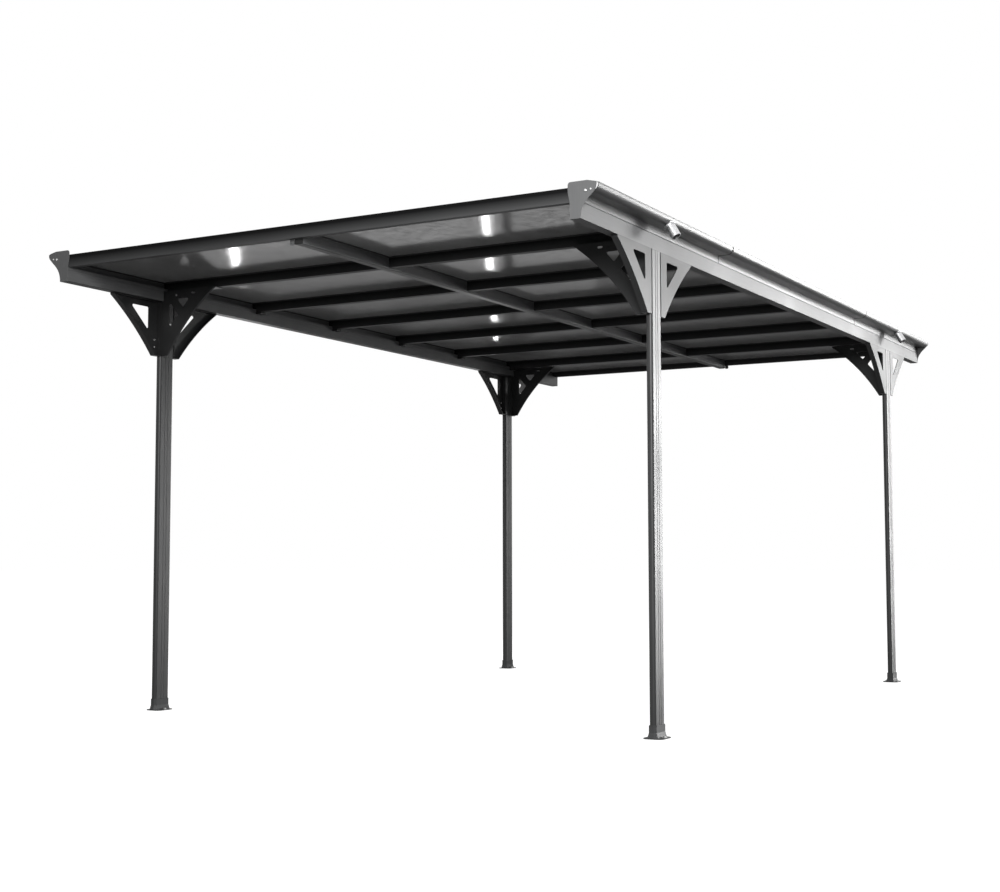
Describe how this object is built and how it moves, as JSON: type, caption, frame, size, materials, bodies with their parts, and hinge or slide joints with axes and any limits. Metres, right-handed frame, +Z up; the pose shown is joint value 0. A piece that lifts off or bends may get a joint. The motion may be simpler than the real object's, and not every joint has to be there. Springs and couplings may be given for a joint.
{
  "type": "flat-roofed carport",
  "caption": "Free-standing open carport: slim posts with cut-out braces, gutters along both eaves and a flat roof of twin-wall sheets on cross members.",
  "frame": {"origin": "on the ground, in the middle of the plan", "axes": "+X across the roof to the right, +Y along the gutters to the back, +Z up"},
  "size_m": [2.936, 4.976, 2.18],
  "materials": {
    "frame_coating": "satin anthracite powder coat",
    "gutter_coating": "satin anthracite powder coat",
    "foot_steel": "satin anthracite coat on steel",
    "outlet_metal": "bare aluminium",
    "twin_wall_sheet": "grey translucent twin-wall polycarbonate"
  },
  "bodies": {
    "root": {"post_front_left": "frame_coating", "foot_front_left": "foot_steel", "end_plate_front_left": "frame_coating", "side_braces_front_left": "frame_coating", "cross_brace_front_left": "frame_coating", "post_front_right": "frame_coating", "foot_front_right": "foot_steel", "end_plate_front_right": "frame_coating", "side_braces_front_right": "frame_coating", "cross_brace_front_right": "frame_coating", "post_back_left": "frame_coating", "foot_back_left": "foot_steel", "end_plate_back_left": "frame_coating", "side_braces_back_left": "frame_coating", "cross_brace_back_left": "frame_coating", "post_back_right": "frame_coating", "foot_back_right": "foot_steel", "end_plate_back_right": "frame_coating", "side_braces_back_right": "frame_coating", "cross_brace_back_right": "frame_coating", "beam_left": "frame_coating", "gutter_left_front": "gutter_coating", "gutter_left_middle": "gutter_coating", "gutter_left_back": "gutter_coating", "gutter_outlets_left": "outlet_metal", "beam_right": "frame_coating", "gutter_right_front": "gutter_coating", "gutter_right_middle": "gutter_coating", "gutter_right_back": "gutter_coating", "gutter_outlets_right": "outlet_metal", "rafter_1": "frame_coating", "rafter_2": "frame_coating", "rafter_3": "frame_coating", "rafter_4": "frame_coating", "rafter_5": "frame_coating", "rafter_6": "frame_coating", "front_fascia": "frame_coating", "back_fascia": "frame_coating", "purlin": "frame_coating", "roof_sheet_1": "twin_wall_sheet", "roof_sheet_2": "twin_wall_sheet", "roof_sheet_3": "twin_wall_sheet", "roof_sheet_4": "twin_wall_sheet", "roof_sheet_5": "twin_wall_sheet", "roof_sheet_6": "twin_wall_sheet", "roof_sheet_7": "twin_wall_sheet"}
  },
  "joints": []
}
